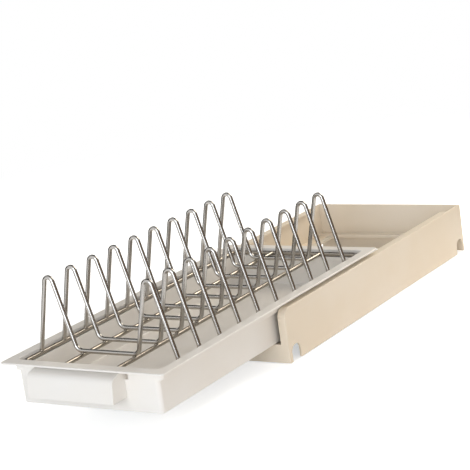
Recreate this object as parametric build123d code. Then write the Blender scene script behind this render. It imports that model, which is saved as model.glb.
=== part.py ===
from build123d import *
import math
import os

# Pull-out cabinet organizer: a low housing stands on the cabinet floor, a tray slides
# out of its open front, and a welded wire rack lies in the tray.
# Millimetres, +Z up, the tray slides out towards -Y. The pose is the photographed one,
# with the tray pulled out. The origin is on the ground, under the middle of the part.

# Housing shell
housing_width = 176.0
housing_length = 373.0
housing_top = 52.0
skirt_lift = 1.0
skin = 2.0
rear_wall = 2.5
band_width = 8.0
band_rear_gap = 30.0
band_end_radius = 5.0
shoulder_radius = 9.0
sill_top = 18.5
shelf_top = 17.5
shelf_thickness = 1.5
shelf_width = 20.0
front_shelf_depth = 30.0
shelf_corner = 8.0
ledge_depth = 9.0
ledge_step = 1.0
housing_edge = 0.6

# Arched notches in the lower edge of the side walls
notch_width = 15.0
notch_height = 15.0
notch_radius = 7.0
notch_front_leg = 4.8
notch_rear_leg = 2.6

# Ribs and bosses under the shelf
rib_thickness = 1.6
rib_bottom = 6.0
rib_count = 5
boss_radius = 8.0
front_boss_inset_x = 22.0
front_boss_inset_y = 20.0
rear_boss_inset_x = 12.0
rear_boss_inset_y = 43.0

# Foot pads, seated in sockets in the bosses
pad_radius = 6.0
pad_thickness = 2.2
pad_clearance = 0.3

# Running clearances
slide_gap = 0.3
stop_gap = 0.3
wire_gap = 0.3

# Tray
rim_inset = 1.0
rim_length = 374.5
rim_thickness = 1.6
rim_top = 57.6
rim_corner = 4.0
rim_shelf = 10.7
rim_edge = 0.7
front_overhang = 9.3
side_overhang = 12.5
rear_overhang = 12.5
tray_wall = 2.5
tray_floor = 2.5
step_wall = 2.2
ledge_top = 51.0
ledge_thickness = 2.5
body_corner = 4.0
inner_corner = 3.0
floor_corner = 1.5
opening_corner = 5.0
tray_bottom_edge = 1.0
pull_out = 188.6

# Handle hood on the front panel
handle_left = 51.3
handle_right = 40.0
handle_depth = 19.8
handle_bottom = 31.6
handle_lean = 2.8
handle_fall = 4.0
handle_wall = 2.5
handle_corner = 6.0
handle_edge = 0.8

# Slots in the front panel, beside the hood and under the rim
slot_width = 4.0
slot_height = 8.6

# Glide strips on the shelf
glide_width = 6.0
glide_inset = 5.5
glide_margin = 3.0

# Hold-down clips at the rear of the tray, and the ribs that stop them
clip_length = 16.0
clip_rear_inset = 1.0
clip_plate = 2.5
clip_drop = 11.0
clip_arm = 5.5
clip_side_gap = 1.5
clip_step_gap = 0.5
clip_lead = 2.0
stop_rib_thickness = 3.0
stop_rib_drop = 18.0

# Wire rack
wire = 4.0
frame_corner = 8.0
rail_inset = 25.0
divider_pitch = 32.0
first_divider = 42.4
last_divider_room = 20.0
foot_inset = 0.5
loop_base = 41.0
loop_top = 124.8
apex_radius = 4.5
bar_corner = 7.0
weld_cope = 1.0

# Places that follow from the sizes, with the housing's front face at y = 0
half_housing = housing_width / 2
channel_outer = half_housing - skin
band_inner = half_housing - band_width
shelf_inner = channel_outer - shelf_width
shelf_bottom = shelf_top - shelf_thickness
rear_inner = housing_length - rear_wall
ledge_front = rear_inner - ledge_depth
band_bottom = housing_top - skin

tray_bottom = sill_top + slide_gap
half_rim = half_housing - rim_inset
half_body = half_rim - side_overhang
glide_x = half_body - glide_inset
half_opening = half_rim - rim_shelf
half_step = half_opening + step_wall
rim_bottom = rim_top - rim_thickness
step_bottom = ledge_top - ledge_thickness
body_rear = ledge_front - stop_gap - pull_out
rim_rear = body_rear + rear_overhang
rim_front = rim_rear - rim_length
panel_front = rim_front + front_overhang
opening_front = panel_front + tray_wall
opening_rear = rim_rear - rim_shelf
step_rear = opening_rear + step_wall
handle_front = panel_front - handle_depth

clip_rear = body_rear - clip_rear_inset
clip_front = clip_rear - clip_length
clip_top = band_bottom - slide_gap
clip_outer = channel_outer - clip_side_gap

wire_radius = wire / 2
frame_z = ledge_top + wire_gap + wire_radius
half_frame = half_opening - wire_gap - wire_radius
frame_front = opening_front + wire_gap + wire_radius
frame_rear = opening_rear - wire_gap - wire_radius
divider_start = rim_front + first_divider
divider_count = 1 + int((frame_rear - last_divider_room - divider_start) // divider_pitch)
rail_x = half_frame - foot_inset - loop_base / 2 - rail_inset

middle_y = (handle_front + housing_length) / 2


def box(x0, x1, y0, y1, z0, z1):
    """A block between two corners."""
    centre = Pos((x0 + x1) / 2, (y0 + y1) / 2, (z0 + z1) / 2)
    return centre * Box(x1 - x0, y1 - y0, z1 - z0)


def slab(half_width, y0, y1, z0, z1, radius):
    """An upright prism, centred on x = 0, with rounded vertical corners."""
    plan = Pos(0, (y0 + y1) / 2, z0) * RectangleRounded(2 * half_width, y1 - y0, radius)
    return extrude(plan, amount=z1 - z0)


def side_sheet(x0, x1, y0, y1, z0, z1, radius):
    """A block from x0 to x1 whose upper front corner is rounded in the side view."""
    view = Pos((y0 + y1) / 2, (z0 + z1) / 2) * Rectangle(y1 - y0, z1 - z0)
    corner = view.vertices().group_by(Axis.X)[0].sort_by(Axis.Y)[-1]
    return extrude(Plane.YZ.offset(x0) * fillet(corner, radius), amount=x1 - x0)


def both_sides(right):
    """The right-hand shape and its mirror image."""
    return right + mirror(right, about=Plane.YZ)


# The fixed housing

def side_wall():
    """The right side wall: its skin, and the flange that turns in along top and front."""
    wall = side_sheet(channel_outer, half_housing, 0, housing_length,
                      skirt_lift, housing_top, shoulder_radius)
    flange = side_sheet(band_inner, half_housing, 0, housing_length - band_rear_gap,
                        skirt_lift, housing_top, shoulder_radius)
    channel = side_sheet(band_inner, half_housing, skin, housing_length,
                         skirt_lift, band_bottom, shoulder_radius - skin)
    flange -= channel
    band_end = flange.edges().filter_by(Axis.Z).group_by(Axis.Y)[-1].sort_by(Axis.X)[0]
    flange = fillet(band_end, band_end_radius)
    stop_rear = clip_front - stop_gap
    stop = box(band_inner, channel_outer, stop_rear - stop_rib_thickness, stop_rear,
               band_bottom - stop_rib_drop, band_bottom)
    return wall + flange + stop - notches()


def notches():
    """The arched notches of the right side wall, as the solids that cut them."""
    arches = Part()
    rear_notch = housing_length - notch_rear_leg - notch_width
    for start in (notch_front_leg, rear_notch):
        arch = box(channel_outer - skin / 2, half_housing + skin, start, start + notch_width,
                   0, skirt_lift + notch_height)
        crown = arch.edges().filter_by(Axis.X).group_by(Axis.Z)[-1]
        arches += fillet(crown, notch_radius)
    return arches


def shelf():
    """The narrow shelf round the open middle, with its rear ledge, ribs and bosses."""
    rear = rear_inner + skin / 2
    ring = box(-channel_outer - skin / 2, channel_outer + skin / 2, skin / 2, rear, shelf_bottom, shelf_top)
    ring -= slab(shelf_inner, front_shelf_depth, ledge_front, shelf_bottom, shelf_top, shelf_corner)
    ring += box(-channel_outer - skin / 2, channel_outer + skin / 2, ledge_front, rear,
                shelf_bottom, tray_bottom + ledge_step)
    spacing = rear_inner / (rib_count + 1)
    for index in range(1, rib_count + 1):
        rib_y = index * spacing
        ring += both_sides(box(shelf_inner, channel_outer + skin / 2, rib_y - rib_thickness / 2,
                               rib_y + rib_thickness / 2, rib_bottom, shelf_bottom))
    boss = Cylinder(boss_radius, shelf_bottom - skirt_lift, align=(Align.CENTER, Align.CENTER, Align.MIN))
    socket = Cylinder(pad_radius + pad_clearance, pad_thickness - skirt_lift,
                      align=(Align.CENTER, Align.CENTER, Align.MIN))
    for x, y in pad_places():
        ring += Pos(x, y, skirt_lift) * (boss - socket)
    return ring


def pad_places():
    """The middles of the four foot pads, front left first."""
    front_x = half_housing - front_boss_inset_x
    rear_x = half_housing - rear_boss_inset_x
    rear_y = housing_length - rear_boss_inset_y
    return [(-front_x, front_boss_inset_y), (front_x, front_boss_inset_y), (-rear_x, rear_y), (rear_x, rear_y)]


def envelope():
    """The housing's outer shape as one block, with its outer edges softened."""
    block = side_sheet(-half_housing, half_housing, 0, housing_length,
                       skirt_lift, housing_top, shoulder_radius)
    sides = block.faces().sort_by(Axis.X)
    rear_top = block.faces().sort_by(Axis.Y)[-1].edges().sort_by(Axis.Z)[-1]
    outline = (sides[0].edges() + sides[-1].edges()).filter_by_position(
        Axis.Z, skirt_lift + housing_edge, housing_top)
    return fillet(outline + [rear_top], housing_edge)


def housing():
    """Side walls, rear wall, sill and shelf, moulded in one."""
    shell = both_sides(side_wall())
    shell += box(-band_inner, band_inner, 0, skin, skirt_lift, sill_top)
    shell += box(-half_housing, half_housing, rear_inner, housing_length, skirt_lift, housing_top)
    return (shell + shelf()) & envelope()


def foot_pad(x, y):
    """A round soft pad, glued into its socket."""
    return Pos(x, y, 0) * Cylinder(pad_radius, pad_thickness, align=(Align.CENTER, Align.CENTER, Align.MIN))


def glide_strip(side):
    """A slippery strip on the shelf that carries the tray."""
    start = skin + glide_margin
    end = ledge_front - glide_margin
    plan = SlotOverall(end - start, glide_width, rotation=90)
    return extrude(Pos(side * glide_x, (start + end) / 2, shelf_top) * plan, amount=sill_top - shelf_top)


# The sliding tray

def tray():
    """Rim, stepped ledge, walls and floor of the tray."""
    outside = slab(half_rim, rim_front, rim_rear, rim_bottom, rim_top, rim_corner)
    outside += slab(half_step, panel_front, step_rear, step_bottom, rim_bottom, body_corner)
    body = slab(half_body, panel_front, body_rear, tray_bottom, step_bottom, body_corner)
    outside += fillet(body.edges().group_by(Axis.Z)[0], tray_bottom_edge)
    mouth = slab(half_opening, opening_front, opening_rear, ledge_top, rim_top, opening_corner)
    inner_rear = body_rear - tray_wall
    hollow = slab(half_body - tray_wall, opening_front, inner_rear, tray_bottom + tray_floor,
                  ledge_top, inner_corner)
    hollow = fillet(hollow.edges().group_by(Axis.Z)[0], floor_corner)
    dish = outside - mouth - hollow
    for slot_start in (-handle_left - slot_width, handle_right):
        dish -= box(slot_start, slot_start + slot_width, panel_front - tray_wall, opening_front + tray_wall,
                    rim_bottom - slot_height, rim_bottom)
    return fillet(dish.edges().group_by(Axis.Z)[-1], rim_edge)


def hood_block(thickness, radius):
    """The hood's outer shape, or with a thickness the hollow that this leaves, from its side view."""
    top_front = (handle_front + handle_lean + thickness, rim_bottom - handle_fall - thickness)
    outline = Polyline((panel_front, rim_bottom - thickness), top_front, (handle_front + thickness, handle_bottom),
                       (panel_front, handle_bottom), close=True)
    left = -handle_left + thickness
    block = extrude(Plane.YZ.offset(left) * make_face(outline), amount=handle_right - thickness - left)
    corner = block.edges().filter_by(Axis.X).filter_by_position(Axis.Y, handle_front, panel_front - radius)
    return fillet(corner.sort_by(Axis.Z)[-1], radius)


def handle():
    """The pull on the front panel: a hood, open below and behind, its front leaning out to the lower edge."""
    hood = hood_block(0, handle_corner)
    side_edges = hood.faces().filter_by(Axis.X).edges()
    side_edges = side_edges.filter_by_position(Axis.Y, handle_front, panel_front - handle_wall)
    hood = fillet(side_edges, handle_edge)
    return hood - hood_block(handle_wall, handle_corner - handle_wall)


def hold_down_clip(side):
    """A clip on the tray's side whose arm runs under the housing's flange."""
    plate_outer = half_body + clip_plate
    arm_bottom = clip_top - clip_arm
    arm_inner = half_step + clip_step_gap
    plate_bottom = step_bottom - clip_drop
    outline = Polyline(
        (half_body, plate_bottom), (plate_outer, plate_bottom), (plate_outer, arm_bottom),
        (clip_outer, arm_bottom), (clip_outer, clip_top), (arm_inner, clip_top),
        (arm_inner, step_bottom), (half_body, step_bottom), close=True)
    section = Plane.XZ.offset(-clip_rear) * make_face(outline)
    clip = extrude(section, amount=clip_length)
    lead = clip.edges().filter_by(Axis.Z).group_by(Axis.Y)[0].sort_by(Axis.X)[-1]
    clip = chamfer(lead, clip_lead)
    if side < 0:
        clip = mirror(clip, about=Plane.YZ)
    return clip


# The wire rack

def bent_wire(path):
    """Round wire along a path."""
    return sweep(Plane(origin=path @ 0, z_dir=path % 0) * Circle(wire_radius), path=path)


def rack_frame():
    """The closed frame of wire that lies on the tray's ledge."""
    corners = [(-half_frame, frame_front, frame_z), (half_frame, frame_front, frame_z),
               (half_frame, frame_rear, frame_z), (-half_frame, frame_rear, frame_z)]
    return bent_wire(FilletPolyline(*corners, radius=frame_corner, close=True))


def rack_rail(side):
    """A straight wire along the rack, its ends hollowed to fit the frame's wire."""
    x = side * rail_x
    reach = wire_radius - weld_cope
    rail = bent_wire(Line((x, frame_front + reach, frame_z), (x, frame_rear - reach, frame_z)))
    return rail - rack_frame()


def divider(index):
    """A W-shaped wire: foot, loop, middle bar, loop, foot."""
    y = divider_start + index * divider_pitch
    foot_z = frame_z + wire_radius
    bar_z = frame_z + wire
    half_base = loop_base / 2
    loop_x = half_frame - foot_inset - half_base
    arc_z = loop_top - wire_radius - apex_radius
    rise = arc_z - foot_z
    lean = math.atan(half_base / rise) - math.asin(apex_radius / math.hypot(half_base, rise))
    peak_z = foot_z + half_base / math.tan(lean)
    bar_x = loop_x - (peak_z - bar_z) * math.tan(lean)
    end_z = foot_z - weld_cope
    end_x = loop_x + (peak_z - end_z) * math.tan(lean)
    corners = [(-end_x, y, end_z), (-loop_x, y, peak_z), (-bar_x, y, bar_z),
               (bar_x, y, bar_z), (loop_x, y, peak_z), (end_x, y, end_z)]
    radii = [apex_radius, bar_corner, bar_corner, apex_radius]
    return bent_wire(FilletPolyline(*corners, radius=radii)) - rack_frame()


parts = {"housing": housing(), "tray": tray(), "handle": handle(), "rack_frame": rack_frame()}
for name, side in (("left", -1), ("right", 1)):
    parts[f"glide_strip_{name}"] = glide_strip(side)
    parts[f"hold_down_clip_{name}"] = hold_down_clip(side)
    parts[f"rack_rail_{name}"] = rack_rail(side)
for corner, (pad_x, pad_y) in zip(("front_left", "front_right", "rear_left", "rear_right"), pad_places()):
    parts[f"foot_pad_{corner}"] = foot_pad(pad_x, pad_y)
for number in range(divider_count):
    parts[f"divider_{number + 1:02d}"] = divider(number)

os.makedirs("parts", exist_ok=True)
for name, solid in parts.items():
    export_step(Pos(0, -middle_y, 0) * solid, f"parts/{name}.step")
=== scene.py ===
import logging
import math
from dataclasses import dataclass, field
from enum import Enum
from typing import Any, Optional, Union

import bmesh
import bpy
from mathutils import Matrix, Vector


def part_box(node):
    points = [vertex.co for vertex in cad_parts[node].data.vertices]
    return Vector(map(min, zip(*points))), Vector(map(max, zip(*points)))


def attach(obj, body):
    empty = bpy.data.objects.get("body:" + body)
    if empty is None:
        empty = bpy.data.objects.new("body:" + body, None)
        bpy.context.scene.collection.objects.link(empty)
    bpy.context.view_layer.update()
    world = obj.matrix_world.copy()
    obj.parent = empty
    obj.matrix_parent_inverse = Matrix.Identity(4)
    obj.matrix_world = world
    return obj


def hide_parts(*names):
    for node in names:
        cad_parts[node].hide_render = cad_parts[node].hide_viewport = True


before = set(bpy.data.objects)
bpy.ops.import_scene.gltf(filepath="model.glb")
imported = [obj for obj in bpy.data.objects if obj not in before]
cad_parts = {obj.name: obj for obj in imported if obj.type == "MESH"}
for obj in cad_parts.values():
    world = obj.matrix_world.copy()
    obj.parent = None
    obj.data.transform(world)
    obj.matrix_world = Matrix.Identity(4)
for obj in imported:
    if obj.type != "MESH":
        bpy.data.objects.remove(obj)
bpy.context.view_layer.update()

# Pull-out cabinet organizer: finishes, wires, welds, pads and studio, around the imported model.
# Metres, +Z up, the tray slides out towards -Y.

log = logging.getLogger("organizer")

MM = 0.001
Colour = tuple[float, float, float]
NOISE_MIDDLE = 0.5
WHITE: Colour = (1.0, 1.0, 1.0)


def srgb(red: int, green: int, blue: int) -> Colour:
    """The linear colour of a screen colour.

    Args:
        red: Red, 0 to 255.
        green: Green, 0 to 255.
        blue: Blue, 0 to 255.

    Returns:
        The same colour as linear values from 0 to 1.
    """
    full, offset, power = 255, 0.055, 2.4
    return tuple(((part / full + offset) / (1 + offset)) ** power for part in (red, green, blue))


class Side(Enum):
    """The two sides of the organizer, as seen from the handle."""

    LEFT = -1
    RIGHT = 1


class Shader:
    """The node tree of a material or of the world, with short forms for common nodes."""

    def __init__(self, block: Union[bpy.types.Material, bpy.types.World]) -> None:
        """Empties a new block's tree.

        Args:
            block: The material or the world.
        """
        self.block = block
        self.is_world = isinstance(block, bpy.types.World)
        self.block.use_nodes = True
        self.tree = self.block.node_tree
        self.tree.nodes.clear()

    @classmethod
    def of_material(cls, name: str) -> "Shader":
        """Starts an empty material."""
        return cls(bpy.data.materials.new(name))

    def node(self, kind: str, settings: Optional[dict[str, Any]] = None,
             sockets: Optional[dict[Union[str, int], Any]] = None) -> bpy.types.Node:
        """Adds a node.

        Args:
            kind: The node's type, such as ShaderNodeTexNoise.
            settings: The node's own settings, set before its sockets.
            sockets: Values or links for its inputs, by name, identifier or place.

        Returns:
            The new node.
        """
        node = self.tree.nodes.new(kind)
        for name, value in (settings or {}).items():
            setattr(node, name, value)
        for key, value in (sockets or {}).items():
            self._feed(self._input(node, key), value)
        return node

    def value(self, node: bpy.types.Node, output: Union[str, int] = 0) -> "Value":
        """A node's output as a value that operators work on."""
        return Value(self, node.outputs[output])

    def mix(self, factor: "Value", first: Any, second: Any) -> "Value":
        """A colour between two others.

        Args:
            factor: 0 gives the first colour, 1 the second.
            first: A colour or a value.
            second: A colour or a value.

        Returns:
            The mixed colour.
        """
        sockets = {"Factor_Float": factor, "A_Color": first, "B_Color": second}
        mixed = self.node("ShaderNodeMix", {"data_type": "RGBA", "clamp_factor": True}, sockets)
        return Value(self, next(s for s in mixed.outputs if s.identifier == "Result_Color"))

    def noise(self, point: "Value", scale: float, detail: float = 2.0, rough: float = 0.5) -> "Value":
        """Smooth noise from 0 to 1.

        Args:
            point: Where it is read.
            scale: Its cycles per metre.
            detail: How many finer layers it has.
            rough: How strong the finer layers are.

        Returns:
            The noise.
        """
        sockets = {"Vector": point, "Scale": scale, "Detail": detail, "Roughness": rough}
        return self.value(self.node("ShaderNodeTexNoise", {}, sockets))

    def stretched(self, point: "Value", scale: tuple[float, float, float]) -> "Value":
        """A point scaled by a different number along each axis."""
        return self.value(self.node("ShaderNodeMapping", {}, {"Vector": point, "Scale": scale}))

    def ramp(self, value: "Value", low: float, high: float) -> "Value":
        """A smooth step from 0 to 1.

        Args:
            value: The value that it follows.
            low: Where it leaves 0.
            high: Where it reaches 1.

        Returns:
            The step.
        """
        settings = {"interpolation_type": "SMOOTHSTEP", "clamp": True}
        sockets = {"Value": value, "From Min": low, "From Max": high, "To Min": 0.0, "To Max": 1.0}
        return self.value(self.node("ShaderNodeMapRange", settings, sockets))

    def object_point(self) -> "Value":
        """The shaded point in the object's own coordinates."""
        return self.value(self.node("ShaderNodeTexCoord"), "Object")

    def parts_of(self, point: "Value") -> tuple["Value", "Value", "Value"]:
        """The x, y and z of a point."""
        split = self.node("ShaderNodeSeparateXYZ", {}, {"Vector": point})
        return self.value(split, "X"), self.value(split, "Y"), self.value(split, "Z")

    def surface(self, sockets: dict[str, Any]) -> "Value":
        """A Principled shader with the given inputs."""
        return self.value(self.node("ShaderNodeBsdfPrincipled", {}, sockets))

    def glow(self, colour: Union[Colour, "Value"], strength: float) -> "Value":
        """Light of one colour, from a surface or from the world."""
        kind = "ShaderNodeBackground" if self.is_world else "ShaderNodeEmission"
        return self.value(self.node(kind, {}, {"Color": colour, "Strength": strength}))

    def blend(self, factor: "Value", first: "Value", second: "Value") -> "Value":
        """A mix of two shaders: factor 0 gives the first, 1 the second."""
        return self.value(self.node("ShaderNodeMixShader", {}, {0: factor, 1: first, 2: second}))

    def seen(self) -> "Value":
        """Tells what the camera sees, directly or mirrored, from what lights the object.

        Returns:
            1 for what is seen, 0 for what lights.
        """
        path = self.node("ShaderNodeLightPath")
        rays = [self.value(path, f"Is {kind} Ray") for kind in ("Camera", "Glossy", "Transmission")]
        return rays[0].larger(rays[1]).larger(rays[2])

    def end(self, surface: "Value") -> Union[bpy.types.Material, bpy.types.World]:
        """Ends the tree with a shader.

        Args:
            surface: The shader.

        Returns:
            The tree's material or world.
        """
        target = "World" if self.is_world else "Material"
        self.node(f"ShaderNodeOutput{target}", {}, {"Surface": surface})
        return self.block

    def finish(self, sockets: dict[str, Any]) -> bpy.types.Material:
        """Ends the tree with a Principled shader.

        Args:
            sockets: Values or links for the Principled shader's inputs.

        Returns:
            The finished material.
        """
        return self.end(self.surface(sockets))

    @staticmethod
    def _input(node: bpy.types.Node, key: Union[str, int]) -> bpy.types.NodeSocket:
        """Finds an input of a node.

        Args:
            node: The node.
            key: The input's place, identifier or name.

        Returns:
            The input.
        """
        if isinstance(key, int):
            return node.inputs[key]
        found = [s for s in node.inputs if s.identifier == key]
        found += [s for s in node.inputs if s.name == key and s.enabled]
        return found[0]

    def _feed(self, socket: bpy.types.NodeSocket, value: Any) -> None:
        """Links a value to a socket, or sets the socket's own value.

        Args:
            socket: The socket.
            value: A value, an output, a number or a colour.
        """
        if isinstance(value, Value):
            value = value.socket
        if isinstance(value, bpy.types.NodeSocket):
            self.tree.links.new(value, socket)
        elif socket.type == "RGBA" and len(value) == 3:
            socket.default_value = (*value, 1.0)
        else:
            socket.default_value = value


class Value:
    """A shader value. An expression on values adds its Math nodes."""

    def __init__(self, shader: Shader, socket: bpy.types.NodeSocket) -> None:
        """Wraps an output socket.

        Args:
            shader: The tree that it belongs to.
            socket: The output.
        """
        self.shader = shader
        self.socket = socket

    def _maths(self, operation: str, *terms: Any) -> "Value":
        """A Math node on this tree, with its terms in order."""
        node = self.shader.node("ShaderNodeMath", {"operation": operation}, dict(enumerate(terms)))
        return self.shader.value(node)

    def __add__(self, other: Any) -> "Value":
        """This plus other."""
        return self._maths("ADD", self, other)

    __radd__ = __add__

    def __sub__(self, other: Any) -> "Value":
        """This minus other."""
        return self._maths("SUBTRACT", self, other)

    def __rsub__(self, other: Any) -> "Value":
        """Other minus this."""
        return self._maths("SUBTRACT", other, self)

    def __mul__(self, other: Any) -> "Value":
        """This times other."""
        return self._maths("MULTIPLY", self, other)

    def larger(self, other: Any) -> "Value":
        """This or other, whichever is larger."""
        return self._maths("MAXIMUM", self, other)


@dataclass(frozen=True)
class Mottle:
    """Patches with soft borders, cut out of smooth noise.

    Attributes:
        scale: Cycles of the noise per metre.
        detail: How many finer layers the noise has.
        low: The noise at which a patch starts.
        high: The noise at which a patch is full.
        rough: How strong the finer layers are.
    """

    scale: float
    detail: float
    low: float
    high: float
    rough: float = 0.5

    def on(self, shader: Shader, point: Value) -> Value:
        """How much of a patch lies at a point, 0 to 1."""
        return shader.ramp(shader.noise(point, self.scale, self.detail, self.rough), self.low, self.high)


@dataclass(frozen=True)
class Moulding:
    """An injection-moulded plastic with a fine matt grain.

    Attributes:
        name: The material's name.
        colour: The plastic's own colour.
        warm: The colour of its slightly yellower clouds.
        wear_and_highlight: The lighter colour of rubbed slides and edges; on the edges it is partly real
            wear and partly a painted highlight.
        gloss: Its middle roughness.
        grain: Cycles of the matt grain per metre.
        grain_depth: Depth of the grain.
        softness: Radius of the softened edges.
        rub: How strongly the slide streaks show, 0 to 1.
        index: Its index of refraction.
        clouds: The yellower clouds.
        cloud_tint: Share of the warm colour in a cloud.
        cloud_rough: Roughness that a cloud adds, about its middle.
        streaks: The slide streaks, in the stretched point.
        streak_stretch: Cycles of the streaks per metre along each axis.
        streak_wear: Share of the lighter colour in a streak.
        streak_rough: Roughness that a streak adds.
        edge_from: Turn of the softened edge, as 1 less its cosine, where the lighter edge starts.
        edge_by: The turn where the lighter edge is full.
        edge_wear_and_highlight: Share of the lighter colour on an edge, partly wear and partly a painted
            highlight.
        edge_polish: Roughness that an edge loses.
        patches: Where an edge is lighter still: more wear and more painted highlight.
        patch_wear_and_highlight: Share of the lighter colour that a patch adds to an edge.
        bevel_samples: Samples of the softened edge.
        sinks: Cycles of the shallow sink marks per metre.
        sink_height: Height of the sink marks, in depths of the grain.
        relief: How strongly grain and sink marks turn the surface.
    """

    name: str
    colour: Colour
    warm: Colour
    wear_and_highlight: Colour
    gloss: float = 0.42
    grain: float = 2400.0
    grain_depth: float = 0.03 * MM
    softness: float = 0.45 * MM
    rub: float = 0.5
    index: float = 1.49
    clouds: Mottle = Mottle(scale=14.0, detail=3.0, low=0.35, high=0.7)
    cloud_tint: float = 0.6
    cloud_rough: float = 0.06
    streaks: Mottle = Mottle(scale=1.0, detail=3.0, low=0.62, high=0.75)
    streak_stretch: tuple[float, float, float] = (900.0, 9.0, 900.0)
    streak_wear: float = 0.25
    streak_rough: float = 0.12
    edge_from: float = 0.01
    edge_by: float = 0.25
    edge_wear_and_highlight: float = 0.25
    edge_polish: float = 0.08
    patches: Mottle = Mottle(scale=160.0, detail=3.0, low=0.4, high=0.65)
    patch_wear_and_highlight: float = 0.35
    bevel_samples: int = 6
    sinks: float = 22.0
    sink_height: float = 6.0
    relief: float = 0.35

    def material(self) -> bpy.types.Material:
        """Builds the material.

        Returns:
            The plastic, with clouds, grain, slide streaks and lighter edges that are partly rubbed wear
            and partly a painted highlight.
        """
        shader = Shader.of_material(self.name)
        point = shader.object_point()
        clouds = self.clouds.on(shader, point)
        streaks = self.streaks.on(shader, shader.stretched(point, self.streak_stretch)) * self.rub
        bevel = shader.node("ShaderNodeBevel", {"samples": self.bevel_samples},
                            {"Radius": self.softness})
        flat = shader.node("ShaderNodeNewGeometry").outputs["True Normal"]
        facing = shader.node("ShaderNodeVectorMath", {"operation": "DOT_PRODUCT"},
                             {0: bevel.outputs["Normal"], 1: flat})
        # Softened edges turn lighter: partly rubbed wear, partly a painted highlight.
        edge = shader.ramp(1.0 - shader.value(facing, "Value"), self.edge_from, self.edge_by)
        patches = self.patches.on(shader, point)
        tone = shader.mix(clouds * self.cloud_tint, self.colour, self.warm)
        tone = shader.mix(edge * (self.edge_wear_and_highlight + patches * self.patch_wear_and_highlight), tone, self.wear_and_highlight)
        tone = shader.mix(streaks * self.streak_wear, tone, self.wear_and_highlight)
        gloss = self.gloss + (clouds - NOISE_MIDDLE) * self.cloud_rough
        gloss = gloss + streaks * self.streak_rough - edge * self.edge_polish
        grain = shader.noise(point, self.grain)
        sink = shader.noise(point, self.sinks, detail=1.0)
        bump = shader.node("ShaderNodeBump", {}, {
            "Strength": self.relief, "Distance": self.grain_depth,
            "Height": grain + sink * self.sink_height, "Normal": bevel.outputs["Normal"]})
        return shader.finish({
            "Base Color": tone, "Roughness": gloss, "Normal": bump.outputs["Normal"], "IOR": self.index})


@dataclass(frozen=True)
class Plating:
    """Bright plated wire with a faint drawn grain, straw-tinted beside its welds.

    Attributes:
        name: The material's name.
        colour: The metal's own colour.
        tint: The colour beside a weld.
        weld_low: Height where the weld tint is full.
        weld_high: Height where it has faded.
        weld_wander: How far these heights wander.
        weld_tint: Share of the tint beside a weld.
        weld_rough: Roughness that the tint adds.
        gloss: Roughness of the clean plating.
        clouds: Cycles of its faint clouds per metre.
        cloud_rough: Roughness that a cloud adds.
        specks: Small dull specks.
        speck_rough: Roughness that a speck adds.
        drawn: Cycles of the drawn grain per metre.
        drawn_depth: Depth of the drawn grain.
        relief: How strongly grain and specks turn the surface.
    """

    name: str
    colour: Colour
    tint: Colour
    weld_low: float
    weld_high: float
    weld_wander: float = 2.0 * MM
    weld_tint: float = 0.55
    weld_rough: float = 0.12
    gloss: float = 0.13
    clouds: float = 240.0
    cloud_rough: float = 0.06
    specks: Mottle = Mottle(scale=1500.0, detail=1.0, low=0.66, high=0.74)
    speck_rough: float = 0.15
    drawn: float = 3200.0
    drawn_depth: float = 0.01 * MM
    relief: float = 0.12

    def material(self) -> bpy.types.Material:
        """Builds the material.

        Returns:
            The plated metal.
        """
        shader = Shader.of_material(self.name)
        point = shader.object_point()
        _, _, height = shader.parts_of(point)
        clouds = shader.noise(point, self.clouds, detail=3.0)
        specks = self.specks.on(shader, point)
        border = height + (clouds - NOISE_MIDDLE) * self.weld_wander
        near_weld = 1.0 - shader.ramp(border, self.weld_low, self.weld_high)
        tone = shader.mix(near_weld * self.weld_tint, self.colour, self.tint)
        gloss = self.gloss + clouds * self.cloud_rough + specks * self.speck_rough
        gloss = gloss + near_weld * self.weld_rough
        drawn = shader.noise(point, self.drawn, detail=1.0)
        bump = shader.node("ShaderNodeBump", {}, {
            "Strength": self.relief, "Distance": self.drawn_depth, "Height": drawn + specks})
        return shader.finish({
            "Base Color": tone, "Metallic": 1.0, "Roughness": gloss,
            "Normal": bump.outputs["Normal"]})


@dataclass(frozen=True)
class Rubber:
    """Soft grey rubber, dusty on its faces.

    Attributes:
        name: The material's name.
        colour: The rubber's own colour.
        dust: The colour of the dust on it.
        dusty: Where the dust lies.
        dust_share: Share of the dust's colour where it lies.
        dust_rough: Roughness that the dust adds.
        gloss: Roughness of the clean rubber.
        grain: Cycles of its grain per metre.
        grain_depth: Depth of the grain.
        relief: How strongly the grain turns the surface.
    """

    name: str
    colour: Colour
    dust: Colour
    dusty: Mottle = Mottle(scale=420.0, detail=4.0, low=0.45, high=0.75, rough=0.6)
    dust_share: float = 0.5
    dust_rough: float = 0.18
    gloss: float = 0.72
    grain: float = 3000.0
    grain_depth: float = 0.03 * MM
    relief: float = 0.3

    def material(self) -> bpy.types.Material:
        """Builds the material.

        Returns:
            The rubber.
        """
        shader = Shader.of_material(self.name)
        point = shader.object_point()
        dust = self.dusty.on(shader, point)
        tone = shader.mix(dust * self.dust_share, self.colour, self.dust)
        bump = shader.node("ShaderNodeBump", {}, {
            "Strength": self.relief, "Distance": self.grain_depth,
            "Height": shader.noise(point, self.grain)})
        return shader.finish({
            "Base Color": tone, "Roughness": self.gloss + dust * self.dust_rough,
            "Normal": bump.outputs["Normal"]})


class Slot(Enum):
    """The record's material slot names for the wire and the pads; nothing in the script uses them."""

    WIRE = "wire_chrome"
    PAD = "pad_rubber"


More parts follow.
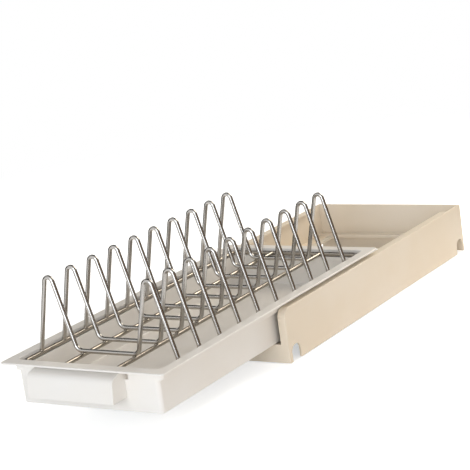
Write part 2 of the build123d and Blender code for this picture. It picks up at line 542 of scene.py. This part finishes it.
class Growth:
    """One Geometry Nodes tree, with named inputs, which ends as a plain mesh."""

    def __init__(self, name: str) -> None:
        """Starts an empty tree.

        Args:
            name: The tree's name.
        """
        self.tree = bpy.data.node_groups.new(name, "GeometryNodeTree")
        self.tree.interface.new_socket(
            name="Geometry", in_out="OUTPUT", socket_type="NodeSocketGeometry")
        self.entry = self.tree.nodes.new("NodeGroupInput")
        self.sockets: dict[str, str] = {}

    def size(self, name: str, kind: str = "NodeSocketFloat") -> bpy.types.NodeSocket:
        """Adds a named input to the tree.

        Args:
            name: The input's name.
            kind: The socket's type.

        Returns:
            The output of the tree's entry that carries it.
        """
        made = self.tree.interface.new_socket(name=name, in_out="INPUT", socket_type=kind)
        self.sockets[name] = made.identifier
        return self.entry.outputs[name]

    def node(self, kind: str, settings: Optional[dict[str, Any]] = None,
             sockets: Optional[dict[Union[str, int], Any]] = None) -> bpy.types.Node:
        """Adds a node.

        Args:
            kind: The node's type, such as GeometryNodeCurveToMesh.
            settings: The node's own settings, set before its sockets.
            sockets: Values or links for its inputs, by name or place.

        Returns:
            The new node.
        """
        node = self.tree.nodes.new(kind)
        for name, value in (settings or {}).items():
            setattr(node, name, value)
        for key, value in (sockets or {}).items():
            found = node.inputs[key]
            for term in value if isinstance(value, list) else [value]:
                if isinstance(term, bpy.types.NodeSocket):
                    self.tree.links.new(term, found)
                else:
                    found.default_value = term
        return node

    def maths(self, operation: str, *terms: Any) -> bpy.types.NodeSocket:
        """The result of a Math node."""
        return self.node("ShaderNodeMath", {"operation": operation}, dict(enumerate(terms))).outputs[0]

    def point(self, x: Any, y: Any, z: Any) -> bpy.types.NodeSocket:
        """A point from three values or links."""
        return self.node("ShaderNodeCombineXYZ", {}, {"X": x, "Y": y, "Z": z}).outputs[0]

    def close(self, mesh: bpy.types.NodeSocket) -> None:
        """Ends the tree: real meshes, smooth faces, and the finish from the Finish input.

        Args:
            mesh: The tree's shape.
        """
        finish = self.size("Finish", "NodeSocketMaterial")
        real = self.node("GeometryNodeRealizeInstances", {}, {"Geometry": mesh})
        smooth = self.node("GeometryNodeSetShadeSmooth", {}, {"Geometry": real.outputs[0]})
        dressed = self.node("GeometryNodeSetMaterial", {}, {
            "Geometry": smooth.outputs[0], "Material": finish})
        self.node("NodeGroupOutput", {}, {"Geometry": dressed.outputs[0]})

    def piece(self, name: str, values: dict[str, Any]) -> bpy.types.Object:
        """Grows one piece as a plain mesh.

        Args:
            name: The piece's name.
            values: A value for each named input.

        Returns:
            The piece, with no modifier left on it.
        """
        seed = bpy.data.objects.new(f"{name}_seed", bpy.data.meshes.new(f"{name}_seed"))
        bpy.context.scene.collection.objects.link(seed)
        modifier = seed.modifiers.new("growth", "NODES")
        modifier.node_group = self.tree
        for key, value in values.items():
            modifier[self.sockets[key]] = value
        graph = bpy.context.evaluated_depsgraph_get()
        mesh = bpy.data.meshes.new_from_object(seed.evaluated_get(graph), depsgraph=graph)
        seed.modifiers.remove(modifier)
        bpy.data.objects.remove(seed)
        mesh.name = name
        piece = bpy.data.objects.new(name, mesh)
        bpy.context.scene.collection.objects.link(piece)
        return piece


def dress(node: str, material: bpy.types.Material) -> None:
    """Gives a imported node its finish.

    Args:
        node: The node's name.
        material: The finish.
    """
    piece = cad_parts[node]
    for place in piece.material_slots:
        place.material = material
    if not piece.material_slots:
        piece.data.materials.append(material)
    log.info("dressed %s as %s", node, material.name)


def lathe(name: str, profile: list[tuple[float, float]], steps: int) -> bpy.types.Mesh:
    """A solid of revolution about Z.

    Args:
        name: The mesh's name.
        profile: Radius and height of each ring, from the lower middle to the upper middle.
        steps: How many faces go round.

    Returns:
        The closed mesh, its normals outward.
    """
    shape = bmesh.new()
    rings = []
    for radius, height in profile:
        if radius == 0.0:
            rings.append([shape.verts.new((0.0, 0.0, height))])
            continue
        turns = [2 * math.pi * step / steps for step in range(steps)]
        rings.append([shape.verts.new((radius * math.cos(turn), radius * math.sin(turn), height))
                      for turn in turns])
    for lower, upper in zip(rings, rings[1:]):
        for step in range(steps):
            corners = [lower[step % len(lower)], lower[(step + 1) % len(lower)],
                       upper[(step + 1) % len(upper)], upper[step % len(upper)]]
            shape.faces.new(dict.fromkeys(corners))
    bmesh.ops.recalc_face_normals(shape, faces=shape.faces)
    mesh = bpy.data.meshes.new(name)
    shape.to_mesh(mesh)
    shape.free()
    return mesh


@dataclass
class Rack:
    """The wire rack: frame, rails, dividers and the welds between them.

    Attributes:
        body: The body that the new pieces ride on.
        loop_base: Width of a loop at its feet.
        foot_inset: How far the feet stand inside the frame wire's middle.
        apex_radius: Bend of a loop's top, on the wire's middle line.
        bar_radius: Bend where a loop meets the middle bar.
        around: Faces round the wire.
        bend_steps: Rings in each bend.
        cross_weld: Half width and half height of the weld where two wires cross.
        foot_weld: Half width and half height of the weld round a divider's foot.
        bead_rounds: How often a bead's faces are split.
        bead_seed: Seed of the beads' turns.
        tint_under: How far below the frame wire's top the weld tint is full.
        tint_over: How far above it the tint has faded.
        dividers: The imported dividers, front to rear.
    """

    body: str = "rack"
    loop_base: float = 41.0 * MM
    foot_inset: float = 0.5 * MM
    apex_radius: float = 4.5 * MM
    bar_radius: float = 7.0 * MM
    around: int = 28
    bend_steps: int = 14
    cross_weld: tuple[float, float] = (1.95 * MM, 0.75 * MM)
    foot_weld: tuple[float, float] = (2.3 * MM, 1.0 * MM)
    bead_rounds: int = 3
    bead_seed: int = 7
    tint_under: float = 0.5 * MM
    tint_over: float = 3.5 * MM
    dividers: list[str] = field(
        default_factory=lambda: sorted(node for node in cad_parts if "divider" in node))

    def __post_init__(self) -> None:
        """Reads the rack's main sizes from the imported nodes."""
        low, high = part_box("rack_frame")
        self.wire_radius = (high.z - low.z) / 2
        self.frame_z = (high.z + low.z) / 2
        self.frame_low = low
        self.frame_high = high
        self.frame_half = high.x - self.wire_radius
        self.contact_z = high.z
        self.rail_x = (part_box("rack_rail_right")[0].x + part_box("rack_rail_right")[1].x) / 2

    def build(self) -> None:
        """Builds and dresses every piece of the rack."""
        plating = Plating(
            "bright_plated_wire", colour=srgb(186, 183, 179), tint=srgb(150, 138, 120),
            weld_low=self.contact_z - self.tint_under, weld_high=self.contact_z + self.tint_over)
        metal = plating.material()
        for node in ("rack_frame", "rack_rail_left", "rack_rail_right"):
            dress(node, metal)
        self._dividers(metal)
        self._welds(metal)

    def _dividers(self, metal: bpy.types.Material) -> None:
        """Bends one wire for each divider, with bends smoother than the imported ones.

        Args:
            metal: Their finish.
        """
        growth = self._divider_growth()
        foot_x = self.frame_half - self.foot_inset
        for node in self.dividers:
            low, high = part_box(node)
            loop_x = foot_x - self.loop_base / 2
            peak_z = high.z - self.wire_radius
            values = {
                "Wire radius": self.wire_radius, "Foot x": foot_x, "Loop x": loop_x,
                "Place y": (low.y + high.y) / 2, "Foot z": self.contact_z,
                "Bar z": self.contact_z + self.wire_radius, "Top z": peak_z,
                "Apex radius": self.apex_radius, "Bar radius": self.bar_radius,
                "Faces round": self.around, "Bend steps": self.bend_steps, "Finish": metal}
            piece = growth.piece(f"wire_{node}", values)
            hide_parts(node)
            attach(piece, self.body)
            log.info("bent %s", piece.name)

    def _divider_growth(self) -> Growth:
        """The tree that bends a divider: foot, loop, middle bar, loop, foot.

        Returns:
            The tree, with the divider's sizes as named inputs.
        """
        growth = Growth("divider_wire")
        radius = growth.size("Wire radius")
        foot_x = growth.size("Foot x")
        loop_x = growth.size("Loop x")
        place_y = growth.size("Place y")
        foot_z = growth.size("Foot z")
        bar_z = growth.size("Bar z")
        top_z = growth.size("Top z")
        apex = growth.size("Apex radius")
        bend = growth.size("Bar radius")
        around = growth.size("Faces round", "NodeSocketInt")
        steps = growth.size("Bend steps", "NodeSocketInt")

        half_base = growth.maths("SUBTRACT", foot_x, loop_x)
        rise = growth.maths("SUBTRACT", growth.maths("SUBTRACT", top_z, apex), foot_z)
        slant = growth.maths("SQRT", growth.maths("ADD", growth.maths("MULTIPLY", rise, rise),
                                                  growth.maths("MULTIPLY", half_base, half_base)))
        chord = growth.maths("ARCTANGENT", growth.maths("DIVIDE", half_base, rise))
        bent = growth.maths("ARCSINE", growth.maths("DIVIDE", apex, slant))
        lean = growth.maths("SUBTRACT", chord, bent)
        slope = growth.maths("TANGENT", lean)
        peak_z = growth.maths("ADD", foot_z, growth.maths("DIVIDE", half_base, slope))
        bar_run = growth.maths("MULTIPLY", growth.maths("SUBTRACT", peak_z, bar_z), slope)
        bar_x = growth.maths("SUBTRACT", loop_x, bar_run)
        right = [(bar_x, bar_z), (loop_x, peak_z), (foot_x, foot_z)]
        left = [(growth.maths("MULTIPLY", x, -1.0), z) for x, z in reversed(right)]
        corners = [growth.point(x, place_y, z) for x, z in left + right]

        line = growth.node("GeometryNodeCurvePrimitiveLine")
        spaced = growth.node("GeometryNodeResampleCurve", {}, {
            "Curve": line.outputs[0], "Count": len(corners)})
        index = growth.node("GeometryNodeInputIndex").outputs[0]
        choice = growth.node("GeometryNodeIndexSwitch", {"data_type": "VECTOR"})
        while len(choice.index_switch_items) < len(corners):
            choice.index_switch_items.new()
        growth.tree.links.new(index, choice.inputs["Index"])
        for place, corner in enumerate(corners):
            growth.tree.links.new(corner, choice.inputs[place + 1])
        path = growth.node("GeometryNodeSetPosition", {}, {
            "Geometry": spaced.outputs[0], "Position": choice.outputs[0]})
        middle = (len(corners) - 1) / 2
        bar_corners_within = 1.0
        off_middle = growth.maths("ABSOLUTE", growth.maths("SUBTRACT", index, middle))
        at_apex = growth.maths("GREATER_THAN", off_middle, bar_corners_within)
        bends = growth.maths("ADD", growth.maths("MULTIPLY", at_apex, apex),
                             growth.maths("MULTIPLY", growth.maths("SUBTRACT", 1.0, at_apex), bend))
        rounded = growth.node("GeometryNodeFilletCurve", {"mode": "POLY"}, {
            "Curve": path.outputs[0], "Count": steps, "Radius": bends, "Limit Radius": True})
        ring = growth.node("GeometryNodeCurvePrimitiveCircle", {}, {
            "Resolution": around, "Radius": radius})
        tube = growth.node("GeometryNodeCurveToMesh", {}, {
            "Curve": rounded.outputs[0], "Profile Curve": ring.outputs[0], "Fill Caps": True})
        growth.close(tube.outputs[0])
        return growth

    def _welds(self, metal: bpy.types.Material) -> None:
        """One mesh of weld beads: where wires cross, at the dividers' feet and at the rails' ends.

        Args:
            metal: Their finish.
        """
        places = [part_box(node) for node in self.dividers]
        ys = [(low.y + high.y) / 2 for low, high in places]
        pitch = (ys[-1] - ys[0]) / (len(ys) - 1)
        foot_x = self.frame_half - self.foot_inset
        growth = Growth("weld_beads")
        run = growth.size("Frame run")
        ends = growth.size("Frame start")
        rail_ends = 2
        sets = []
        for kind in ("Rail", "Foot"):
            place_x = growth.size(f"{kind} x")
            spread = growth.size(f"{kind} spread")
            rise = growth.size(f"{kind} rise")
            rows = []
            for side in Side:
                across = growth.maths("MULTIPLY", place_x, float(side.value))
                start = growth.point(across, ys[0], self.contact_z)
                rows.append(self._row(growth, start, len(ys), growth.point(0.0, pitch, 0.0)))
                if kind == "Rail":
                    start = growth.point(across, ends, self.frame_z)
                    rows.append(self._row(growth, start, rail_ends, growth.point(0.0, run, 0.0)))
            sets.append(self._beads(growth, rows, growth.point(spread, spread, rise)))
        growth.close(growth.node("GeometryNodeJoinGeometry", {}, {"Geometry": sets}).outputs[0])
        inset = 2 * self.wire_radius
        piece = growth.piece("weld_beads", {
            "Frame start": self.frame_low.y + inset,
            "Frame run": self.frame_high.y - self.frame_low.y - 2 * inset,
            "Rail x": self.rail_x, "Rail spread": self.cross_weld[0], "Rail rise": self.cross_weld[1],
            "Foot x": foot_x, "Foot spread": self.foot_weld[0], "Foot rise": self.foot_weld[1],
            "Finish": metal})
        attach(piece, self.body)
        log.info("laid %s", piece.name)

    @staticmethod
    def _row(growth: Growth, start: bpy.types.NodeSocket, count: int,
             step: bpy.types.NodeSocket) -> bpy.types.NodeSocket:
        """A row of points.

        Args:
            growth: The tree.
            start: The first point.
            count: How many points there are.
            step: The way from one point to the next.

        Returns:
            The points.
        """
        row = growth.node("GeometryNodeMeshLine", {"mode": "OFFSET"}, {
            "Count": count, "Start Location": start, "Offset": step})
        return row.outputs[0]

    def _beads(self, growth: Growth, rows: list[bpy.types.NodeSocket],
               size: bpy.types.NodeSocket) -> bpy.types.NodeSocket:
        """A bead on each point of some rows, each turned at random about Z.

        Args:
            growth: The tree.
            rows: The rows of points.
            size: Half sizes of a bead.

        Returns:
            The beads.
        """
        points = growth.node("GeometryNodeJoinGeometry", {}, {"Geometry": rows})
        bead = growth.node("GeometryNodeMeshIcoSphere", {}, {
            "Radius": 1.0, "Subdivisions": self.bead_rounds})
        turn = growth.node("FunctionNodeRandomValue", {"data_type": "FLOAT_VECTOR"}, {
            "Min": (0.0, 0.0, -math.pi), "Max": (0.0, 0.0, math.pi), "Seed": self.bead_seed})
        laid = growth.node("GeometryNodeInstanceOnPoints", {}, {
            "Points": points.outputs[0], "Instance": bead.outputs[0],
            "Rotation": turn.outputs[0], "Scale": size})
        return laid.outputs[0]


@dataclass
class Tray:
    """The sliding tray with its pull and clips.

    Attributes:
        plastic: The finish of the tray and its pull.
        clip_plastic: The finish of the clips.
    """

    plastic: Moulding = Moulding(
        "tray_off_white_plastic", colour=srgb(238, 235, 230), warm=srgb(236, 231, 223),
        wear_and_highlight=srgb(247, 246, 243), gloss=0.36, grain_depth=0.02 * MM, rub=0.35)
    clip_plastic: Moulding = Moulding(
        "clip_natural_plastic", colour=srgb(228, 224, 214), warm=srgb(222, 216, 202),
        wear_and_highlight=srgb(240, 238, 232), gloss=0.3, grain_depth=0.01 * MM)

    def build(self) -> None:
        """Dresses the tray, its pull and its clips."""
        white = self.plastic.material()
        for node in ("tray", "handle"):
            dress(node, white)
        slick = self.clip_plastic.material()
        for node in ("hold_down_clip_left", "hold_down_clip_right"):
            dress(node, slick)


@dataclass
class Housing:
    """The fixed housing with its glide strips and foot pads.

    Attributes:
        body: The body that the pads ride on.
        plastic: The housing's finish.
        glide_plastic: The finish of the glide strips.
        rubber: The finish of the pads.
        pad_grooves: How many ring grooves the tread of a pad has.
        groove_depth: Depth of a groove.
        groove_share: Half of a groove's mouth, as a share of the space between grooves.
        groove_taper: Width of a groove's bottom, as a share of its mouth.
        edge_share: Size of a pad's rounded edge, as a share of its radius.
        edge_middle: Where the middle of the rounded edge lies, as a share of the edge.
        pad_around: Faces round a pad.
        crease: Angle from which an edge of a pad stays sharp.
    """

    body: str = "housing"
    plastic: Moulding = Moulding(
        "housing_cream_plastic", colour=srgb(234, 223, 206), warm=srgb(230, 216, 194),
        wear_and_highlight=srgb(246, 240, 230), gloss=0.42, rub=0.45)
    glide_plastic: Moulding = Moulding(
        "glide_natural_plastic", colour=srgb(226, 222, 210), warm=srgb(220, 213, 196),
        wear_and_highlight=srgb(240, 238, 230), gloss=0.28, grain_depth=0.01 * MM, rub=1.0)
    rubber: Rubber = Rubber("pad_grey_rubber", colour=srgb(92, 90, 88), dust=srgb(150, 146, 140))
    pad_grooves: int = 3
    groove_depth: float = 0.5 * MM
    groove_share: float = 0.3
    groove_taper: float = 0.6
    edge_share: float = 0.06
    edge_middle: float = 0.3
    pad_around: int = 64
    crease: float = math.radians(35)

    def build(self) -> None:
        """Dresses the housing and its glides, and makes the pads."""
        dress("housing", self.plastic.material())
        glide = self.glide_plastic.material()
        for node in ("glide_strip_left", "glide_strip_right"):
            dress(node, glide)
        rubber = self.rubber.material()
        for node in sorted(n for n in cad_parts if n.startswith("foot_pad")):
            self._pad(node, rubber)

    def _pad(self, node: str, rubber: bpy.types.Material) -> None:
        """A round pad with ring grooves in its tread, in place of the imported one.

        Args:
            node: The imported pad.
            rubber: Its finish.
        """
        low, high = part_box(node)
        radius = (high.x - low.x) / 2
        top = high.z - low.z
        edge = radius * self.edge_share
        cut = edge * self.edge_middle
        profile = [(0.0, 0.0)]
        ring = radius / (self.pad_grooves + 1)
        mouth = ring * self.groove_share
        bottom = mouth * self.groove_taper
        for groove in range(1, self.pad_grooves + 1):
            middle = groove * ring
            profile += [(middle - mouth, 0.0), (middle - bottom, self.groove_depth),
                        (middle + bottom, self.groove_depth), (middle + mouth, 0.0)]
        profile += [(radius - edge, 0.0), (radius - cut, cut), (radius, edge),
                    (radius, top - edge), (radius - edge, top), (0.0, top)]
        name = node.replace("foot_pad", "tread_pad")
        piece = bpy.data.objects.new(name, lathe(name, profile, self.pad_around))
        bpy.context.scene.collection.objects.link(piece)
        piece.data.transform(Matrix.Translation(((low.x + high.x) / 2, (low.y + high.y) / 2, low.z)))
        piece.data.materials.append(rubber)
        piece.data.shade_smooth()
        piece.data.set_sharp_from_angle(angle=self.crease)
        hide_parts(node)
        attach(piece, self.body)
        log.info("made %s", name)


@dataclass(frozen=True)
class Opening:
    """A soft bright opening between the studio's grey cards.

    Attributes:
        heading: Where it lies, seen from the organizer.
        bright: Angle from its middle up to which it is fully bright, in degrees.
        dark: Angle from its middle at which it has faded out.
        strength: Its brightness.
    """

    heading: tuple[float, float, float]
    bright: float
    dark: float
    strength: float = 1.0


@dataclass(frozen=True)
class Softbox:
    """A soft square lamp that points at the organizer.

    Attributes:
        name: The lamp's name.
        place: Where it stands.
        size: The length of its sides.
        power: Its power in watts.
        colour: Its light's colour.
        mirrored: Whether gloss and mirrors show it.
    """

    name: str
    place: tuple[float, float, float]
    size: float
    power: float
    colour: Colour
    mirrored: bool = True

    def hang(self, aim: tuple[float, float, float]) -> None:
        """Puts the lamp into the scene.

        Args:
            aim: The point that it faces.
        """
        data = bpy.data.lights.new(self.name, "AREA")
        data.size = self.size
        data.energy = self.power
        data.color = self.colour
        lamp = bpy.data.objects.new(self.name, data)
        lamp.location = self.place
        ahead = Vector(aim) - Vector(self.place)
        lamp.rotation_euler = ahead.to_track_quat("-Z", "Y").to_euler()
        lamp.visible_glossy = self.mirrored
        bpy.context.scene.collection.objects.link(lamp)


@dataclass
class Studio:
    """Floor, lights, background and camera.

    Attributes:
        azimuth: The camera looks along +Y turned by this much towards -X.
        elevation: How far the camera looks down.
        roll: How far the picture is tilted.
        place: Where the camera stands.
        lens_pixels: Focal length in pixels of the square picture.
        picture: The picture's width in pixels.
        sensor: The camera's sensor width in millimetres.
        near_clip: Distance from which the camera sees.
        ambient: Strength of the light from all round.
        ambient_colour: Its colour.
        floor_half: Half of the floor's width.
        floor_tones: The two colours of the floor.
        floor_clouds: Cycles of the change between them per metre.
        floor_rough: Roughness of the floor.
        floor_specular: Specular level of the floor.
        floor_lift: How much the floor's seen side is raised towards white.
        lift_colour: The colour that raises it.
        white_from: Distance from the middle at which the floor starts to fade to white.
        white_by: Distance at which it is white.
        cards_from: Distance from the middle at which the grey cards start.
        cards_by: Distance of the grey cards all round.
        cards_lift: Height of the lowest cards over the floor.
        card_angles: Heights of the card rings, in degrees over the floor.
        cards_around: Faces of a card ring.
        card_tone: Brightness of the grey cards.
        openings: The soft bright openings between the cards.
        aim: The point that every lamp faces.
        lamps: The lamps round the organizer.
    """

    azimuth: float = math.radians(34.36)
    elevation: float = math.radians(13.40)
    roll: float = math.radians(-8.07)
    place: tuple[float, float, float] = (0.86913, -1.28926, 0.46831)
    lens_pixels: float = 1660.2
    picture: int = 470
    sensor: float = 36.0
    near_clip: float = 0.01
    ambient: float = 0.39
    ambient_colour: Colour = (1.0, 0.975, 0.947)
    floor_half: float = 6.0
    floor_tones: tuple[Colour, Colour] = (srgb(247, 246, 244), srgb(250, 249, 247))
    floor_clouds: float = 3.0
    floor_rough: float = 0.85
    floor_specular: float = 0.1
    floor_lift: float = 0.55
    lift_colour: Colour = (0.94, 0.97, 1.0)
    white_from: float = 0.4
    white_by: float = 1.1
    cards_from: float = 0.42
    cards_by: float = 4.5
    cards_lift: float = 2.0 * MM
    card_angles: range = range(6, 85, 6)
    cards_around: int = 48
    card_tone: Colour = (0.06, 0.057, 0.054)
    openings: tuple[Opening, ...] = (
        Opening(heading=(0.0, -1.0, 0.45), bright=42.0, dark=62.0),
        Opening(heading=(-0.9, 0.35, 0.5), bright=10.0, dark=22.0),
        Opening(heading=(0.5, 0.8, 0.6), bright=10.0, dark=22.0))
    aim: tuple[float, float, float] = (0.0, 0.0, 0.05)
    lamps: tuple[Softbox, ...] = (
        Softbox("front_softbox", (0.35, -2.6, 0.55), 1.4, 32.8, (0.84, 0.91, 1.0)),
        Softbox("side_softbox", (1.9, -1.6, 0.8), 1.0, 8.6, (0.96, 0.96, 1.0), False),
        Softbox("left_softbox", (-2.2, 0.1, 0.9), 1.2, 15.0, (1.0, 1.0, 0.98), False),
        Softbox("upper_softbox", (0.35, 0.9, 1.2), 0.8, 6.0, (1.0, 0.87, 0.72)),
        Softbox("rear_softbox", (0.3, 1.1, 0.7), 0.6, 5.5, (1.0, 0.93, 0.79)),
        Softbox("right_softbox", (2.3, 0.4, 0.6), 1.2, 1.8, (1.0, 0.58, 0.3)))

    def build(self) -> None:
        """Builds the whole studio."""
        self._camera()
        self._world()
        self._floor()
        self._surround()
        for lamp in self.lamps:
            lamp.hang(self.aim)

    def _camera(self) -> None:
        """The camera at the photograph's viewing angle."""
        ahead = Vector((-math.sin(self.azimuth) * math.cos(self.elevation),
                        math.cos(self.azimuth) * math.cos(self.elevation), -math.sin(self.elevation)))
        right = ahead.cross(Vector((0, 0, 1))).normalized()
        up = right.cross(ahead)
        across = right * math.cos(self.roll) + up * math.sin(self.roll)
        upward = up * math.cos(self.roll) - right * math.sin(self.roll)
        turn = Matrix((across, upward, -ahead)).transposed().to_4x4()
        data = bpy.data.cameras.new("camera")
        data.sensor_width = self.sensor
        data.lens = self.sensor * self.lens_pixels / self.picture
        data.clip_start = self.near_clip
        camera = bpy.data.objects.new("camera", data)
        camera.matrix_world = Matrix.Translation(self.place) @ turn
        bpy.context.scene.collection.objects.link(camera)
        bpy.context.scene.camera = camera

    def _world(self) -> None:
        """A plain pale world that the camera sees as white."""
        shader = Shader(bpy.data.worlds.new("studio"))
        lit = shader.glow(self.ambient_colour, self.ambient)
        white = shader.glow(WHITE, 1.0)
        bpy.context.scene.world = shader.end(shader.blend(shader.seen(), lit, white))
        bpy.context.scene.view_settings.view_transform = "Standard"

    def _floor(self) -> None:
        """A pale floor that fades to white round the object and keeps its shadow."""
        shader = Shader.of_material("pale_floor")
        point = shader.object_point()
        tone = shader.mix(shader.noise(point, self.floor_clouds), *self.floor_tones)
        pale = shader.surface({
            "Base Color": tone, "Roughness": self.floor_rough,
            "Specular IOR Level": self.floor_specular})
        white = shader.glow(WHITE, 1.0)
        lift = shader.glow(self.lift_colour, self.floor_lift)
        raised = shader.value(shader.node("ShaderNodeAddShader", {}, {0: pale, 1: lift}))
        length = shader.node("ShaderNodeVectorMath", {"operation": "LENGTH"}, {0: point})
        fade = shader.ramp(shader.value(length, "Value"), self.white_from, self.white_by)
        near = shader.blend(fade, raised, white)
        material = shader.end(shader.blend(shader.seen(), pale, near))
        shape = bmesh.new()
        bmesh.ops.create_grid(shape, x_segments=2, y_segments=2, size=self.floor_half)
        mesh = bpy.data.meshes.new("floor")
        shape.to_mesh(mesh)
        shape.free()
        mesh.materials.append(material)
        floor = bpy.data.objects.new("floor", mesh)
        bpy.context.scene.collection.objects.link(floor)

    def _card_finish(self) -> bpy.types.Material:
        """The grey of the cards, and the light of the openings between them.

        Returns:
            The finished material.
        """
        shader = Shader.of_material("grey_cards")
        point = shader.object_point()
        towards = shader.node("ShaderNodeVectorMath", {"operation": "NORMALIZE"}, {0: point})
        tone: Union[Colour, Value] = self.card_tone
        for opening in self.openings:
            along = shader.node("ShaderNodeVectorMath", {"operation": "DOT_PRODUCT"}, {
                0: towards.outputs["Vector"], 1: Vector(opening.heading).normalized()})
            shown = shader.ramp(shader.value(along, "Value"), math.cos(math.radians(opening.dark)),
                                math.cos(math.radians(opening.bright)))
            tone = shader.mix(shown, tone, (opening.strength,) * 3)
        return shader.end(shader.glow(tone, 1.0))

    def _surround(self) -> None:
        """Grey cards round the set with soft bright openings. Only gloss and mirrors show them."""
        turns = [math.radians(angle) for angle in self.card_angles]
        profile = [(self.cards_from, self.cards_lift), (self.cards_by, self.cards_lift)]
        profile += [(self.cards_by * math.cos(turn), self.cards_by * math.sin(turn)) for turn in turns]
        mesh = lathe("grey_cards", profile + [(0.0, self.cards_by)], self.cards_around)
        mesh.materials.append(self._card_finish())
        cards = bpy.data.objects.new("grey_cards", mesh)
        bpy.context.scene.collection.objects.link(cards)
        cards.visible_camera = cards.visible_diffuse = cards.visible_shadow = False
        cards.visible_transmission = cards.visible_volume_scatter = False


def main() -> None:
    """Builds the studio, then the organizer's sub-assemblies."""
    logging.basicConfig(level=logging.INFO, format="%(message)s")
    for maker in (Studio(), Housing(), Tray(), Rack()):
        maker.build()
        log.info("built %s", type(maker).__name__)


if __name__ == "__main__":
    main()
